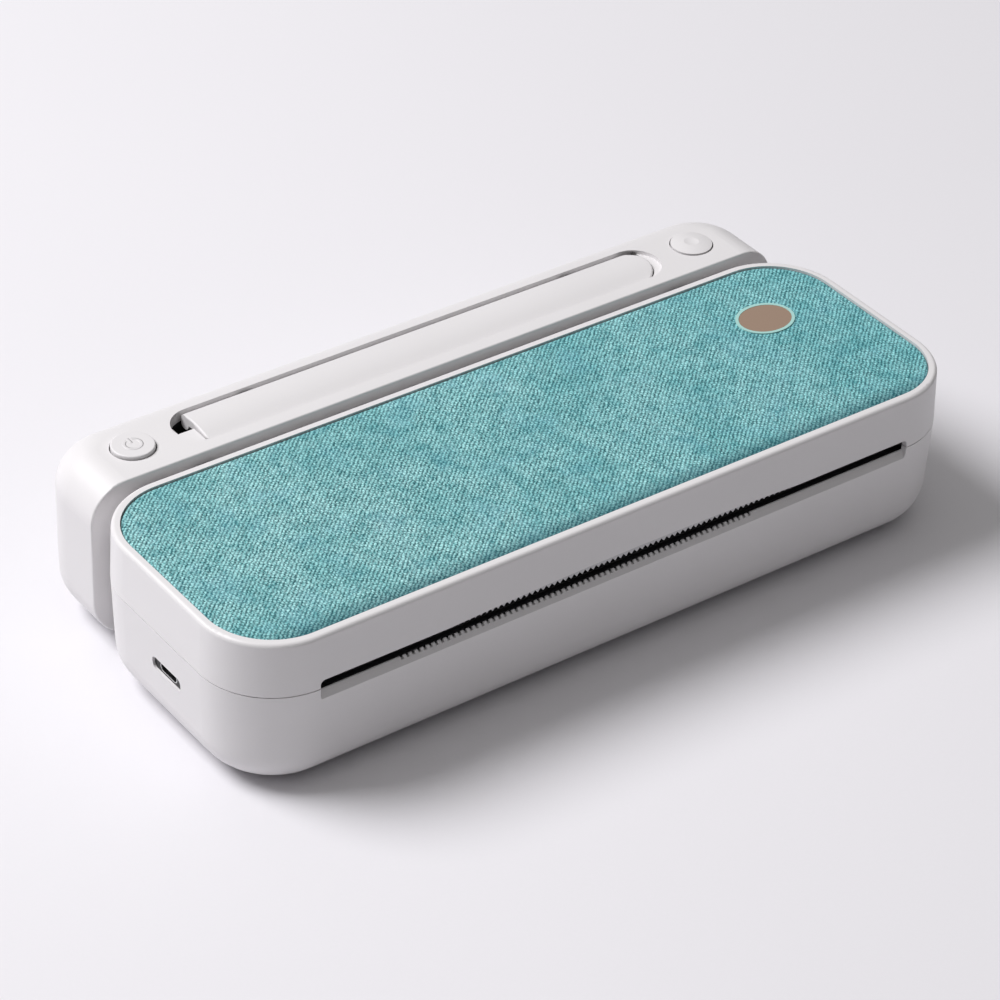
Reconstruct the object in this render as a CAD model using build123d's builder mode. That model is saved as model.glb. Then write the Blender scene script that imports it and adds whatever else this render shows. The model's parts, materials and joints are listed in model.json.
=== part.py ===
from build123d import *
import math
import os

# A desk-top thermal printer for A4 roll paper: a long rounded body whose upper half is a hinged
# cover, and a slimmer rear unit that holds the battery, the main board, two buttons and a flap.
# Millimetres. Origin at floor level under the middle of the footprint, +Z up, +X along the
# printer's length, -Y towards the paper slot.

# Main body
BODY_LENGTH = 264.0
BODY_DEPTH = 90.0
BODY_RADIUS = 24.4
BODY_BOTTOM_ROUND = 12.9
LOWER_TAPER = 2.1
UPPER_TAPER = 2.2
WALL = 2.2
FOOT_HEIGHT = 1.0
SEAM_Z = 36.0
SEAM_GAP = 0.3
RIM_TOP = 53.9
RIM_ROUND = 1.3

# Fabric inset in the cover
FABRIC_TOP = 53.5
FABRIC_LENGTH = 257.5
FABRIC_DEPTH = 83.2
FABRIC_RADIUS = 21.1
FABRIC_THICK = 0.6
BACKING_THICK = 0.5
COVER_PLATE = 1.5

# Rear unit
REAR_LENGTH = 254.0
REAR_DEPTH = 34.0
REAR_RADIUS = 18.5
REAR_TOP_ROUND = 12.4
REAR_BOTTOM_ROUND = 15.0
REAR_EDGE = 0.6
UNIT_GAP = 0.9
DECK_TOP = 56.1

# Paper slot
SLOT_HALF = 107.5
SLOT_TOP = 38.7
SLOT_ARCH = 40.3
SLOT_ARCH_HALF = 64.0
LEDGE_LOW = 31.9
LEDGE_HIGH = 34.2
LEDGE_DEPTH = 1.9
TOOTH_PITCH = 2.0
TOOTH_HEIGHT = 1.2
TEAR_TIP = 37.7
COMB_MID = -16.0
COMB_COUNT = 64

# Cover hinge: the axis sits just inside the cover's rear top edge
HINGE_BACK = 4.4
HINGE_DOWN = 3.9
HINGE_X = 88.0
HINGE_ARM = 6.0
HINGE_KNUCKLE = 2.1
HINGE_PIN = 0.9
RUN_FIT = 0.05
CLEAR = 0.3

# Paper roll bay
ROLL_HALF = 108.0
ROLL_RADIUS = 20.0
ROLL_Y = -2.0
ROLL_Z = 26.0
TRAY_WALL = 1.5
DECK_Z = 34.8

# Print mechanism
PLATEN_Y = -47.5
PLATEN_Z = 42.3
PLATEN_RADIUS = 5.0
SHAFT_RADIUS = 2.0
BUSH_RADIUS = 3.5
HEAD_HALF = 106.0
HEAD_TRAVEL = 0.8

# Gear train, all of one module
MODULE = 0.6
PLATEN_TEETH = 24
IDLER_TEETH = 32
SMALL_TEETH = 12
LARGE_TEETH = 36
PINION_TEETH = 12
GEAR_WIDTH = 2.5
INNER_GEAR_X = 111.4
OUTER_GEAR_X = 114.2
PLATE_X = 109.8
PLATE_THICK = 1.2
POST_RADIUS = 1.25
MOTOR_RADIUS = 9.5
MOTOR_LENGTH = 10.0

# Flap recess and buttons on the rear unit's deck
RECESS_HALF = 90.1
RECESS_WIDTH = 17.5
RECESS_DEPTH = 1.3
BUTTON_X = 104.3
BUTTON_RADIUS = 6.7
BUTTON_GAP = 0.4
BUTTON_PROUD = 1.2
BUTTON_TRAVEL = 0.8
DOME_RADIUS = 30.0
DIMPLE_RADIUS = 12.0
DIMPLE_DEPTH = 0.35
FLAP_LEFT = -82.9
FLAP_RIGHT = 86.6
FLAP_KNUCKLE = 2.35
FLAP_HINGE_X = 60.0

# Charging port on the left side
PORT_Y = -19.5
PORT_Z = 23.8
PORT_LENGTH = 15.0
PORT_HEIGHT = 4.3

# Badge on the fabric
BADGE_X = 98.8
BADGE_Y = -2.6
BADGE_LENGTH = 20.0
BADGE_WIDTH = 16.5

# Places worked out from the driving dimensions
BODY_FRONT = -(BODY_DEPTH + UNIT_GAP + REAR_DEPTH) / 2
BODY_MID = BODY_FRONT + BODY_DEPTH / 2
BODY_REAR = BODY_FRONT + BODY_DEPTH
REAR_FRONT = BODY_REAR + UNIT_GAP
REAR_BACK = REAR_FRONT + REAR_DEPTH
LOWER_TOP = SEAM_Z - SEAM_GAP / 2
UPPER_BOTTOM = SEAM_Z + SEAM_GAP / 2
FLOOR_TOP = FOOT_HEIGHT + WALL
FABRIC_FLOOR = FABRIC_TOP - FABRIC_THICK - BACKING_THICK
CEILING = FABRIC_FLOOR - COVER_PLATE
HINGE_Y = BODY_REAR - HINGE_BACK
HINGE_Z = RIM_TOP - HINGE_DOWN
RECESS_Y = REAR_FRONT + 13.5
LEDGE_Z = DECK_TOP - RECESS_DEPTH
PAD_Z = LEDGE_Z - 2.4
FLAP_AXIS_Y = RECESS_Y + 6.0
FLAP_AXIS_Z = DECK_TOP - 2.55
NIP_Z = PLATEN_Z - PLATEN_RADIUS
BODY_LEFT = -BODY_LENGTH / 2

os.makedirs("parts", exist_ok=True)


def save(piece, label):
    piece.part.label = label
    export_step(piece.part, f"parts/{label}.step")


def gear_distance(teeth_a, teeth_b):
    return MODULE * (teeth_a + teeth_b) / 2


def step_from(point, distance, direction):
    length = math.hypot(*direction)
    return (
        point[0] + distance * direction[0] / length,
        point[1] + distance * direction[1] / length,
    )


# The idler lies square to the line from the hinge to the platen, so that the platen gear leaves
# it along their line of centres when the cover opens.
PLATEN = (PLATEN_Y, PLATEN_Z)
HINGE_LINE = (PLATEN_Y - HINGE_Y, PLATEN_Z - HINGE_Z)
IDLER = step_from(PLATEN, gear_distance(PLATEN_TEETH, IDLER_TEETH), (-HINGE_LINE[1], HINGE_LINE[0]))
REDUCTION = step_from(IDLER, gear_distance(IDLER_TEETH, SMALL_TEETH), (0.95, -0.31))
MOTOR = step_from(REDUCTION, gear_distance(LARGE_TEETH, PINION_TEETH), (0.98, -0.20))


def bearing(start, end):
    return math.degrees(math.atan2(end[1] - start[1], end[0] - start[0]))


def plan_block(length, depth, radius, mid_y, base_z, height, taper=0.0):
    """A rounded rectangle in plan, extruded up or down from base_z."""
    with BuildPart() as block:
        with BuildSketch(Plane(origin=(0, mid_y, base_z))):
            RectangleRounded(length, depth, radius)
        extrude(amount=height, taper=taper)
    return block


def lower_block(inset):
    """The main body's lower half, or the hollow inside it when inset by the wall."""
    depth = LOWER_TOP - FOOT_HEIGHT - inset
    block = plan_block(
        BODY_LENGTH - 2 * inset,
        BODY_DEPTH - 2 * inset,
        BODY_RADIUS - inset,
        BODY_MID,
        LOWER_TOP,
        -depth,
        LOWER_TAPER,
    )
    with block:
        fillet(block.faces().sort_by(Axis.Z)[0].edges(), BODY_BOTTOM_ROUND - inset)
    return block.part


def upper_block(inset, top):
    """The cover's outer shape, or the hollow inside it when inset by the wall."""
    block = plan_block(
        BODY_LENGTH - 2 * inset,
        BODY_DEPTH - 2 * inset,
        BODY_RADIUS - inset,
        BODY_MID,
        UPPER_BOTTOM,
        top - UPPER_BOTTOM,
        UPPER_TAPER,
    )
    return block


def rear_block(inset):
    """The rear unit: a flat front, rounded rear corners, and rounded upper and lower edges."""
    half = REAR_LENGTH / 2 - inset
    low, high = FOOT_HEIGHT + inset, DECK_TOP - inset
    front, back = REAR_FRONT + inset, REAR_BACK - inset
    radius = REAR_RADIUS - inset
    with BuildPart() as block:
        with BuildSketch(Plane.XY.offset(low)):
            with BuildLine():
                Line((-half, front), (half, front))
                Line((half, front), (half, back - radius))
                RadiusArc((half, back - radius), (half - radius, back), -radius)
                Line((half - radius, back), (-half + radius, back))
                RadiusArc((-half + radius, back), (-half, back - radius), -radius)
                Line((-half, back - radius), (-half, front))
            make_face()
        extrude(amount=high - low)
        for face, size in ((-1, REAR_TOP_ROUND - inset), (0, REAR_BOTTOM_ROUND - inset)):
            ring = block.faces().sort_by(Axis.Z)[face].edges()
            fillet(ring.sort_by(Axis.Y)[1:], size)
        if inset == 0.0:
            fillet(block.faces().sort_by(Axis.Y)[0].edges(), REAR_EDGE)
    return block.part


def x_block(x, y, z):
    """A box given by its low and high X, Y and Z."""
    with BuildPart() as block:
        with BuildSketch(Plane.XY.offset(z[0])):
            with Locations(((x[0] + x[1]) / 2, (y[0] + y[1]) / 2)):
                Rectangle(x[1] - x[0], y[1] - y[0])
        extrude(amount=z[1] - z[0])
    return block.part


def x_rod(radius, y, z, x_from, x_to):
    """A round rod along X."""
    with BuildPart() as rod:
        with BuildSketch(Plane(origin=(x_from, y, z), x_dir=(0, 1, 0), z_dir=(1, 0, 0))):
            Circle(radius)
        extrude(amount=x_to - x_from)
    return rod.part


def z_rod(radius, x, y, z_from, z_to):
    """A round rod along Z."""
    with BuildPart() as rod:
        with BuildSketch(Plane(origin=(x, y, z_from))):
            Circle(radius)
        extrude(amount=z_to - z_from)
    return rod.part


def y_rod(radius, x, z, y_from, y_to):
    """A round rod along Y."""
    with BuildPart() as rod:
        with BuildSketch(Plane(origin=(x, y_from, z), x_dir=(-1, 0, 0), z_dir=(0, 1, 0))):
            Circle(radius)
        extrude(amount=y_to - y_from)
    return rod.part


def side_plane(x):
    """A plane across the printer at x: its local X is +Y and its local Y is +Z."""
    return Plane(origin=(x, 0, 0), x_dir=(0, 1, 0), z_dir=(1, 0, 0))


# ---------------------------------------------------------------- places shared by several pieces
TRAY_SCREWS = [(-118.0, 5.0), (-118.0, -36.5), (122.0, 8.0), (122.0, -33.0)]
MAGNETS = [(-121.0, -46.0), (122.5, -42.5)]
HEAD_POSTS = [(x, y) for x in (-92.0, 0.0, 92.0) for y in (-53.0, -42.0)]
LINK_X = (-64.0, 0.0, 64.0)
LINK_Z = 18.0
GROMMET_X = 98.0
GROMMET_Z = 20.0
FEET = [(-98.0, -44.0), (98.0, -44.0), (-98.0, 10.0), (98.0, 10.0), (-88.0, 38.0), (88.0, 38.0)]
SCREW_HEAD = 2.4
SCREW_SHANK = 1.1
ARM_REAR = HINGE_Y + 1.5
ARM_SCREW = 6.2
ARM_SCREW_Z = 26.0
PORT_FACE = -130.7
PORT_FLANGE = -129.0
PORT_BOARD_Z = PORT_Z - 1.63 - 1.6
PORT_POSTS = [(-117.0, -28.0), (-117.0, -11.0)]
FOOT_SCREWS = [(114.5, -36.0), (114.5, -12.0)]


# ---------------------------------------------------------------- base
def ledge_cutter():
    """The bevelled ledge under the paper slot, rounded at its two lower corners."""
    front = BODY_FRONT
    slope = (LEDGE_HIGH - LEDGE_LOW) / LEDGE_DEPTH
    reach = 4.0
    with BuildPart() as cutter:
        with BuildSketch(side_plane(-SLOT_HALF)):
            with BuildLine():
                Polyline(
                    (front - 1, LEDGE_LOW - slope),
                    (front + LEDGE_DEPTH, LEDGE_HIGH),
                    (front + reach, LEDGE_HIGH),
                    (front + reach, SEAM_Z + 6),
                    (front - 1, SEAM_Z + 6),
                    close=True,
                )
            make_face()
        extrude(amount=2 * SLOT_HALF)
        middle = Plane(
            origin=(0, front - 1, LEDGE_LOW - slope + 10), x_dir=(-1, 0, 0), z_dir=(0, 1, 0)
        )
        with BuildSketch(middle):
            RectangleRounded(2 * SLOT_HALF, 20, 3.2)
        extrude(amount=reach + 1, mode=Mode.INTERSECT)
    return cutter.part


def port_plane(x):
    return Plane(origin=(x, PORT_Y, PORT_Z), x_dir=(0, 1, 0), z_dir=(1, 0, 0))


def base_posts():
    """Posts for the inner tray, the magnets, the head's bracket and the port's board."""
    with BuildPart() as posts:
        for x, y in TRAY_SCREWS:
            add(z_rod(3.0, x, y, FLOOR_TOP - 0.5, DECK_Z - TRAY_WALL))
        for x, y in MAGNETS:
            add(z_rod(4.2, x, y, FLOOR_TOP - 0.5, DECK_Z - TRAY_WALL))
        for x, y in HEAD_POSTS:
            add(z_rod(2.8, x, y, FLOOR_TOP - 0.5, 25.0))
        for x, y in PORT_POSTS:
            add(z_rod(2.4, x, y, FLOOR_TOP - 0.5, PORT_BOARD_Z))
        add(lower_block(WALL / 2), mode=Mode.INTERSECT)
    return posts.part


LOWER_OUTER = lower_block(0.0)
LOWER_INNER = lower_block(WALL)
SLOT_LEDGE = ledge_cutter()

with BuildPart() as base_shell:
    add(LOWER_OUTER)
    add(LOWER_INNER, mode=Mode.SUBTRACT)
    # Tongue that stands inside the cover's wall at the sides and front corners.
    with BuildSketch(Plane(origin=(0, BODY_MID, LOWER_TOP - 0.4))):
        RectangleRounded(BODY_LENGTH - 2.7, BODY_DEPTH - 2.7, BODY_RADIUS - 1.35)
        RectangleRounded(
            BODY_LENGTH - 2 * WALL, BODY_DEPTH - 2 * WALL, BODY_RADIUS - WALL, mode=Mode.SUBTRACT
        )
        with Locations((0, -8)):
            Rectangle(2 * SLOT_HALF + 2, BODY_DEPTH, mode=Mode.SUBTRACT)
        with Locations((0, BODY_DEPTH / 2 - 8)):
            Rectangle(BODY_LENGTH, 2 * 18.0, mode=Mode.SUBTRACT)
    extrude(amount=1.6)
    add(SLOT_LEDGE, mode=Mode.SUBTRACT)
    # A comb of fine notches along the ledge's top edge, under the teeth of the tear bar.
    with BuildSketch(Plane(origin=(COMB_MID, BODY_FRONT + 2.2, LEDGE_HIGH - 0.9))):
        with GridLocations(TOOTH_PITCH, 1, COMB_COUNT, 1):
            Rectangle(0.9, 1.9)
    extrude(amount=1.2, mode=Mode.SUBTRACT)
    add(base_posts())
    for x, y in TRAY_SCREWS:
        add(z_rod(SCREW_SHANK, x, y, 22.0, DECK_Z), mode=Mode.SUBTRACT)
    for x, y in HEAD_POSTS:
        add(z_rod(SCREW_SHANK, x, y, 16.0, 26.0), mode=Mode.SUBTRACT)
    for x, y in PORT_POSTS:
        add(z_rod(SCREW_SHANK, x, y, 12.0, 22.0), mode=Mode.SUBTRACT)
    for x, y in FOOT_SCREWS:
        add(z_rod(SCREW_SHANK, x, y, FLOOR_TOP - 1.2, FLOOR_TOP + 1), mode=Mode.SUBTRACT)
    # Flat pads and holes for the screws that carry the rear unit, and the wires' hole.
    for x in LINK_X:
        add(y_rod(5.0, x, LINK_Z, BODY_REAR - 3.15, BODY_REAR))
        add(y_rod(1.5, x, LINK_Z, BODY_REAR - 2 * WALL, BODY_REAR + 1), mode=Mode.SUBTRACT)
    add(y_rod(5.0, GROMMET_X, GROMMET_Z, BODY_REAR - 2 * WALL, BODY_REAR + 1), mode=Mode.SUBTRACT)
    for x in (-HINGE_X, HINGE_X):
        for side in (-ARM_SCREW, ARM_SCREW):
            add(
                y_rod(SCREW_SHANK, x + side, ARM_SCREW_Z, ARM_REAR - 0.2, BODY_REAR - 1.2),
                mode=Mode.SUBTRACT,
            )
    with BuildSketch(port_plane(BODY_LEFT - 1)):
        RectangleRounded(PORT_LENGTH, PORT_HEIGHT, 1.7)
    extrude(amount=WALL + 2.0, mode=Mode.SUBTRACT)
save(base_shell, "base_shell")

with BuildPart() as rubber_feet:
    for x, y in FEET:
        with BuildSketch(Plane(origin=(x, y, 0))):
            Circle(5.0)
        extrude(amount=FOOT_HEIGHT)
    fillet(rubber_feet.faces().sort_by(Axis.Z)[: len(FEET)].edges(), 0.3)
save(rubber_feet, "rubber_feet")


# ---------------------------------------------------------------- inner tray with the roll bay
def bay_section(grow, top):
    """A U in cross-section: half round below, straight up to the given height."""
    radius = ROLL_RADIUS + grow
    with BuildPart() as section:
        with BuildSketch(side_plane(-ROLL_HALF - grow)):
            with Locations((ROLL_Y, ROLL_Z)):
                Circle(radius)
            with Locations((ROLL_Y, (ROLL_Z + top) / 2)):
                Rectangle(2 * radius, top - ROLL_Z)
            with Locations((ROLL_Y, top + radius)):
                Rectangle(3 * radius, 2 * radius, mode=Mode.SUBTRACT)
        extrude(amount=2 * (ROLL_HALF + grow))
    return section.part


BAY_OUTER = bay_section(TRAY_WALL, DECK_Z - TRAY_WALL / 2)
BAY_INNER = bay_section(0.0, DECK_Z + 1)

with BuildPart() as inner_tray:
    with BuildSketch(Plane(origin=(0, BODY_MID, DECK_Z - TRAY_WALL))):
        margin = WALL + 0.45
        RectangleRounded(
            BODY_LENGTH - 2 * margin, BODY_DEPTH - 2 * margin, BODY_RADIUS - margin
        )
    extrude(amount=TRAY_WALL)
    add(BAY_OUTER)
    add(BAY_INNER, mode=Mode.SUBTRACT)
    add(SLOT_LEDGE, mode=Mode.SUBTRACT)
    add(x_block((-111, 111), (-56.5, -39.2), (DECK_Z - 3, DECK_Z + 1)), mode=Mode.SUBTRACT)
    add(x_block((110.8, 118.0), (-57, -36.5), (DECK_Z - 3, DECK_Z + 1)), mode=Mode.SUBTRACT)
    for x in (-HINGE_X, HINGE_X):
        half = HINGE_ARM / 2 + 0.6
        add(x_block((x - half, x + half), (HINGE_Y - 3, 26), (20, DECK_Z + 1)), mode=Mode.SUBTRACT)
    for x, y in MAGNETS:
        add(z_rod(3.2, x, y, DECK_Z - 3, DECK_Z + 1), mode=Mode.SUBTRACT)
    for x, y in TRAY_SCREWS:
        add(z_rod(1.3, x, y, DECK_Z - 3, DECK_Z + 1), mode=Mode.SUBTRACT)
save(inner_tray, "inner_tray")


def cap_screw(x, y, top, length):
    """A small pan-head screw standing along Z, with a cross in its head."""
    with BuildPart() as screw:
        with BuildSketch(Plane(origin=(x, y, top))):
            Circle(SCREW_HEAD)
        extrude(amount=1.2)
        fillet(screw.faces().sort_by(Axis.Z)[-1].edges(), 0.5)
        with BuildSketch(Plane(origin=(x, y, top + 1.2))):
            Rectangle(2.4, 0.5)
            Rectangle(0.5, 2.4)
        extrude(amount=-0.6, mode=Mode.SUBTRACT)
        with BuildSketch(Plane(origin=(x, y, top))):
            Circle(SCREW_SHANK - 0.05)
        extrude(amount=-length)
    return screw.part


with BuildPart() as tray_screws:
    for x, y in TRAY_SCREWS:
        add(cap_screw(x, y, DECK_Z, 8.0))
save(tray_screws, "tray_screws")

with BuildPart() as base_magnets:
    for x, y in MAGNETS:
        add(z_rod(3.0, x, y, DECK_Z - TRAY_WALL, DECK_Z + 0.4))
save(base_magnets, "base_magnets")


# ---------------------------------------------------------------- cover hinge
ARM_FOOT = 20.0


def hinge_arm(x):
    """An upright arm on the base's rear wall, with a bored knuckle at its top and a wide foot."""
    front = HINGE_Y - HINGE_KNUCKLE
    with BuildPart() as arm:
        with BuildSketch(side_plane(x - HINGE_ARM / 2)):
            with Locations(((front + ARM_REAR) / 2, (HINGE_Z + ARM_FOOT) / 2)):
                Rectangle(ARM_REAR - front, HINGE_Z - ARM_FOOT)
            with Locations((HINGE_Y, HINGE_Z)):
                Circle(HINGE_KNUCKLE)
                Circle(HINGE_PIN + RUN_FIT, mode=Mode.SUBTRACT)
        extrude(amount=HINGE_ARM)
        add(x_block((x - 9, x + 9), (ARM_REAR - 1.4, ARM_REAR), (ARM_FOOT, 32.4)))
        for side in (-ARM_SCREW, ARM_SCREW):
            add(
                y_rod(SCREW_SHANK, x + side, ARM_SCREW_Z, ARM_REAR - 3, BODY_REAR),
                mode=Mode.SUBTRACT,
            )
    return arm.part


with BuildPart() as hinge_arms:
    for x in (-HINGE_X, HINGE_X):
        add(hinge_arm(x))
save(hinge_arms, "hinge_arms")

with BuildPart() as hinge_screws:
    for x in (-HINGE_X, HINGE_X):
        for side in (-ARM_SCREW, ARM_SCREW):
            add(y_rod(SCREW_HEAD - 0.4, x + side, ARM_SCREW_Z, ARM_REAR - 2.6, ARM_REAR - 1.4))
            add(y_rod(SCREW_SHANK, x + side, ARM_SCREW_Z, ARM_REAR - 1.4, BODY_REAR - 1.2))
save(hinge_screws, "hinge_screws")

with BuildPart() as hinge_pins:
    for x in (-HINGE_X, HINGE_X):
        add(x_rod(HINGE_PIN, HINGE_Y, HINGE_Z, x - 6.8, x + 6.8))
save(hinge_pins, "hinge_pins")


# ---------------------------------------------------------------- top cover
LUG_INNER = HINGE_ARM / 2 + 0.5
LUG_THICK = 3.0
UPPER_OUTER = upper_block(0.0, RIM_TOP)
with UPPER_OUTER:
    fillet(UPPER_OUTER.faces().sort_by(Axis.Z)[-1].edges(), RIM_ROUND)
UPPER_INNER = upper_block(WALL, CEILING)
TEAR_BACK = 2.3
TEAR_FRONT = 1.05


def fabric_block(inset, base_z, top_z):
    return plan_block(
        FABRIC_LENGTH - 2 * inset,
        FABRIC_DEPTH - 2 * inset,
        FABRIC_RADIUS - inset,
        BODY_MID,
        base_z,
        top_z - base_z,
    )


def slot_cutter():
    """The paper slot's upper half: round ends and a low arch over the middle."""
    with BuildPart() as cutter:
        with BuildSketch(Plane(origin=(0, BODY_FRONT - 1, 0), x_dir=(-1, 0, 0), z_dir=(0, 1, 0))):
            with BuildLine():
                corner = 1.6
                low = SEAM_Z - 1
                Line((-SLOT_HALF, low), (SLOT_HALF, low))
                Line((SLOT_HALF, low), (SLOT_HALF, SLOT_TOP - corner))
                RadiusArc(
                    (SLOT_HALF, SLOT_TOP - corner), (SLOT_HALF - corner, SLOT_TOP), -corner
                )
                Line((SLOT_HALF - corner, SLOT_TOP), (SLOT_ARCH_HALF, SLOT_TOP))
                ThreePointArc((SLOT_ARCH_HALF, SLOT_TOP), (0, SLOT_ARCH), (-SLOT_ARCH_HALF, SLOT_TOP))
                Line((-SLOT_ARCH_HALF, SLOT_TOP), (-SLOT_HALF + corner, SLOT_TOP))
                RadiusArc(
                    (-SLOT_HALF + corner, SLOT_TOP), (-SLOT_HALF, SLOT_TOP - corner), -corner
                )
                Line((-SLOT_HALF, SLOT_TOP - corner), (-SLOT_HALF, low))
            make_face()
        extrude(amount=WALL + 3)
    return cutter.part


def hinge_lug(x):
    """A cover lug beside the arm: round about the pin, reaching up to the cover's ceiling."""
    with BuildPart() as lug:
        with BuildSketch(side_plane(x)):
            with Locations((HINGE_Y, HINGE_Z)):
                Circle(2.3)
            with Locations((HINGE_Y, (HINGE_Z + CEILING + 0.2) / 2)):
                Rectangle(4.6, CEILING + 0.2 - HINGE_Z)
        extrude(amount=LUG_THICK)
    return lug.part


SLOT_CUTTER = slot_cutter()
FABRIC_POCKET = fabric_block(0.0, FABRIC_FLOOR, RIM_TOP + 1).part

with BuildPart() as top_cover:
    add(UPPER_OUTER.part)
    add(UPPER_INNER.part, mode=Mode.SUBTRACT)
    add(FABRIC_POCKET, mode=Mode.SUBTRACT)
    for x in (-HINGE_X, HINGE_X):
        add(hinge_lug(x - LUG_INNER - LUG_THICK))
        add(hinge_lug(x + LUG_INNER))
        clear = HINGE_ARM / 2 + 0.4
        add(
            x_block((x - clear, x + clear), (HINGE_Y - 3.2, BODY_REAR + 1), (SEAM_Z - 1, HINGE_Z + 2.6)),
            mode=Mode.SUBTRACT,
        )
        add(x_rod(HINGE_PIN, HINGE_Y, HINGE_Z, x - 7.0, x + 7.0), mode=Mode.SUBTRACT)
    # Room for the rear wall's lower edge to swing past the base.
    add(
        x_block((-140, 140), (HINGE_Y + 0.2, BODY_REAR + 1), (SEAM_Z - 1, UPPER_BOTTOM + 0.8)),
        mode=Mode.SUBTRACT,
    )
    # Groove over the base's tongue.
    with BuildSketch(Plane(origin=(0, BODY_MID, UPPER_BOTTOM - 0.1))):
        RectangleRounded(BODY_LENGTH - 1.9, BODY_DEPTH - 1.9, BODY_RADIUS - 0.95)
        RectangleRounded(
            BODY_LENGTH - 3 * WALL, BODY_DEPTH - 3 * WALL, BODY_RADIUS - 1.5 * WALL,
            mode=Mode.SUBTRACT,
        )
        with Locations((0, -8)):
            Rectangle(2 * SLOT_HALF + 1, BODY_DEPTH, mode=Mode.SUBTRACT)
        with Locations((0, BODY_DEPTH / 2 - 8)):
            Rectangle(BODY_LENGTH, 2 * 17.0, mode=Mode.SUBTRACT)
    extrude(amount=1.5, mode=Mode.SUBTRACT)
    add(SLOT_CUTTER, mode=Mode.SUBTRACT)
    # Seat for the tear bar behind the slot's lip.
    add(
        x_block((-SLOT_HALF, SLOT_HALF), (BODY_FRONT + TEAR_FRONT, BODY_FRONT + 4), (SEAM_Z, 43.5)),
        mode=Mode.SUBTRACT,
    )
    for x, y in MAGNETS:
        add(z_rod(4.2, x, y, DECK_Z + 2.8, CEILING + 0.2))
save(top_cover, "top_cover")


# ---------------------------------------------------------------- tear bar
def tear_profile():
    """The serrated lower edge as one outline across the slot, with triangular teeth."""
    half = SLOT_HALF - 1.5
    count = int(2 * half / TOOTH_PITCH) - 1
    start = -count * TOOTH_PITCH / 2
    root = TEAR_TIP + TOOTH_HEIGHT
    points = [(half, 43.2), (-half, 43.2), (-half, root)]
    for i in range(count):
        left = start + i * TOOTH_PITCH
        points.append((left, root))
        points.append((left + TOOTH_PITCH / 2, TEAR_TIP))
    points.append((start + count * TOOTH_PITCH, root))
    points.append((half, root))
    return points


with BuildPart() as tear_bar:
    with BuildSketch(
        Plane(origin=(0, BODY_FRONT + TEAR_FRONT, 0), x_dir=(-1, 0, 0), z_dir=(0, 1, 0))
    ):
        with BuildLine():
            Polyline(*tear_profile(), close=True)
        make_face()
    extrude(amount=TEAR_BACK - TEAR_FRONT)
save(tear_bar, "tear_bar")

# ---------------------------------------------------------------- fabric inset and badge
with BuildPart() as fabric_backing:
    add(fabric_block(0.3, FABRIC_FLOOR, FABRIC_FLOOR + BACKING_THICK).part)
save(fabric_backing, "fabric_backing")

with BuildPart() as fabric_panel:
    add(fabric_block(0.15, FABRIC_FLOOR + BACKING_THICK, FABRIC_TOP).part)
save(fabric_panel, "fabric_panel")

with BuildPart() as badge_rim:
    with BuildSketch(Plane(origin=(BADGE_X, BADGE_Y, FABRIC_TOP))):
        Ellipse(BADGE_LENGTH / 2, BADGE_WIDTH / 2)
        Ellipse(BADGE_LENGTH / 2 - 1.0, BADGE_WIDTH / 2 - 1.0, mode=Mode.SUBTRACT)
    extrude(amount=0.35)
save(badge_rim, "badge_rim")

with BuildPart() as badge_plate:
    with BuildSketch(Plane(origin=(BADGE_X, BADGE_Y, FABRIC_TOP))):
        Ellipse(BADGE_LENGTH / 2 - 1.0, BADGE_WIDTH / 2 - 1.0)
    extrude(amount=0.25)
save(badge_plate, "badge_plate")

# ---------------------------------------------------------------- inside of the cover
LINER_Z = CEILING - 1.2
LINER_RIBS = [-90.0, -54.0, -18.0, 18.0, 54.0, 90.0]
BRACKET_X = (-111.1, 109.6)
BRACKET_THICK = 1.5

with BuildPart() as cover_liner:
    with BuildSketch(Plane(origin=(0, -14.0, LINER_Z))):
        RectangleRounded(206, 50, 4)
        for x in (-96, 96):
            for y in (-20, 16):
                with Locations((x, y)):
                    Circle(1.3, mode=Mode.SUBTRACT)
    extrude(amount=CEILING - LINER_Z)
    for x in LINER_RIBS:
        add(x_block((x - 0.6, x + 0.6), (-36, 8), (LINER_Z - 1.6, LINER_Z)))
save(cover_liner, "cover_liner")

with BuildPart() as liner_screws:
    for x in (-96, 96):
        for y in (-34, 2):
            add(z_rod(SCREW_HEAD - 0.2, x, y, LINER_Z - 1.2, LINER_Z))
            add(z_rod(SCREW_SHANK, x, y, LINER_Z, CEILING))
save(liner_screws, "liner_screws")

with BuildPart() as platen_brackets:
    for x in BRACKET_X:
        with BuildSketch(side_plane(x)):
            with Locations((PLATEN_Y, PLATEN_Z)):
                Circle(BUSH_RADIUS + 2.0)
            with Locations((PLATEN_Y, (PLATEN_Z + CEILING) / 2)):
                Rectangle(2 * BUSH_RADIUS + 4.0, CEILING - PLATEN_Z)
            with Locations((PLATEN_Y, PLATEN_Z)):
                Circle(BUSH_RADIUS, mode=Mode.SUBTRACT)
        extrude(amount=BRACKET_THICK)
save(platen_brackets, "platen_brackets")

with BuildPart() as platen_bushes:
    for x in BRACKET_X:
        with BuildSketch(side_plane(x - 0.4)):
            with Locations((PLATEN_Y, PLATEN_Z)):
                Circle(BUSH_RADIUS)
                Circle(SHAFT_RADIUS + RUN_FIT, mode=Mode.SUBTRACT)
        extrude(amount=BRACKET_THICK + 0.8)
save(platen_bushes, "platen_bushes")

with BuildPart() as cover_magnets:
    for x, y in MAGNETS:
        add(z_rod(3.0, x, y, DECK_Z + 0.8, DECK_Z + 2.8))
save(cover_magnets, "cover_magnets")

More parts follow.
